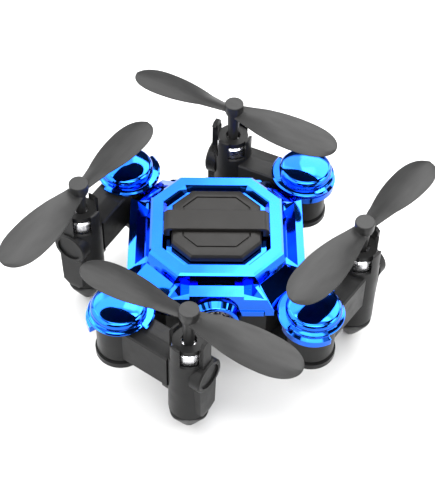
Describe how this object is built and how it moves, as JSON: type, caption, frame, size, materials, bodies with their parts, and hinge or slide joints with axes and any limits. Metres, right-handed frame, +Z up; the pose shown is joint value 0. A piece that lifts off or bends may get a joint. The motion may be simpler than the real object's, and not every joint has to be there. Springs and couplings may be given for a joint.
{
  "type": "mini palm drone",
  "caption": "Palm-sized folding quadcopter: faceted body with a nose camera, swinging arms with motor pods and landing feet, and slender propellers.",
  "frame": {"origin": "on the ground plane, under the middle of the body", "axes": "+Z up, the camera in the nose looks to -Y, +X to the right seen from the nose"},
  "size_m": [0.0919, 0.0864, 0.0388],
  "materials": {
    "blue_chrome": "polished, tinted blue",
    "black_plastic": "satin, finely textured",
    "grey_plastic": "satin",
    "blade_plastic": "satin",
    "lens_black": "gloss black",
    "bright_steel": "bright, nickel plated",
    "board_green": "solder resist",
    "battery_wrap": "foil pouch"
  },
  "bodies": {
    "airframe": {"top_cover": "blue_chrome", "lower_shell": "black_plastic", "badge_plate": "grey_plastic", "badge_band": "grey_plastic", "camera_ring": "blue_chrome", "camera_lens": "lens_black", "camera_module": "board_green", "circuit_board": "board_green", "battery": "battery_wrap", "charging_socket": "bright_steel", "case_screw_1": "bright_steel", "case_screw_2": "bright_steel", "case_screw_3": "bright_steel", "case_screw_4": "bright_steel", "hinge_pin_right": "bright_steel", "hinge_pin_back": "bright_steel", "hinge_pin_left": "bright_steel", "hinge_pin_front": "bright_steel"},
    "power_button": {"power_button": "black_plastic"},
    "right_arm": {"arm_right": "black_plastic", "foot_right": "black_plastic", "motor_can_right": "bright_steel", "motor_end_cap_right": "black_plastic", "motor_collar_right": "black_plastic"},
    "right_rotor": {"propeller_right": "blade_plastic", "motor_shaft_right": "bright_steel"},
    "back_arm": {"arm_back": "black_plastic", "foot_back": "black_plastic", "motor_can_back": "bright_steel", "motor_end_cap_back": "black_plastic", "motor_collar_back": "black_plastic"},
    "back_rotor": {"propeller_back": "blade_plastic", "motor_shaft_back": "bright_steel"},
    "left_arm": {"arm_left": "black_plastic", "foot_left": "black_plastic", "motor_can_left": "bright_steel", "motor_end_cap_left": "black_plastic", "motor_collar_left": "black_plastic"},
    "left_rotor": {"propeller_left": "blade_plastic", "motor_shaft_left": "bright_steel"},
    "front_arm": {"arm_front": "black_plastic", "foot_front": "black_plastic", "motor_can_front": "bright_steel", "motor_end_cap_front": "black_plastic", "motor_collar_front": "black_plastic"},
    "front_rotor": {"propeller_front": "blade_plastic", "motor_shaft_front": "bright_steel"}
  },
  "joints": [
    {"name": "right_arm_fold", "type": "hinge", "parent": "airframe", "child": "right_arm", "pos_m": [0.02, -0.02, 0.0196], "axis": [0, 0, 1], "range_deg": [-68.8, 19.2]},
    {"name": "back_arm_fold", "type": "hinge", "parent": "airframe", "child": "back_arm", "pos_m": [0.02, 0.02, 0.0196], "axis": [0, 0, 1], "range_deg": [-79.5, 8.5]},
    {"name": "left_arm_fold", "type": "hinge", "parent": "airframe", "child": "left_arm", "pos_m": [-0.02, 0.02, 0.0196], "axis": [0, 0, 1], "range_deg": [-74.1, 13.9]},
    {"name": "front_arm_fold", "type": "hinge", "parent": "airframe", "child": "front_arm", "pos_m": [-0.02, -0.02, 0.0196], "axis": [0, 0, 1], "range_deg": [-69.1, 18.9]},
    {"name": "right_rotor_spin", "type": "hinge", "parent": "right_arm", "child": "right_rotor", "pos_m": [0.03057, -0.00556, 0.0346], "axis": [0, 0, 1], "continuous": true},
    {"name": "back_rotor_spin", "type": "hinge", "parent": "back_arm", "child": "back_rotor", "pos_m": [0.00384, 0.02771, 0.0346], "axis": [0, 0, 1], "continuous": true},
    {"name": "left_rotor_spin", "type": "hinge", "parent": "left_arm", "child": "left_rotor", "pos_m": [-0.02919, 0.00464, 0.0346], "axis": [0, 0, 1], "continuous": true},
    {"name": "front_rotor_spin", "type": "hinge", "parent": "front_arm", "child": "front_rotor", "pos_m": [-0.0055, -0.0305, 0.0346], "axis": [0, 0, 1], "continuous": true},
    {"name": "power_button_press", "type": "slide", "parent": "airframe", "child": "power_button", "axis": [0, 0, 1], "range_m": [0, 0.0006], "stiffness_N_per_m": 300}
  ]
}
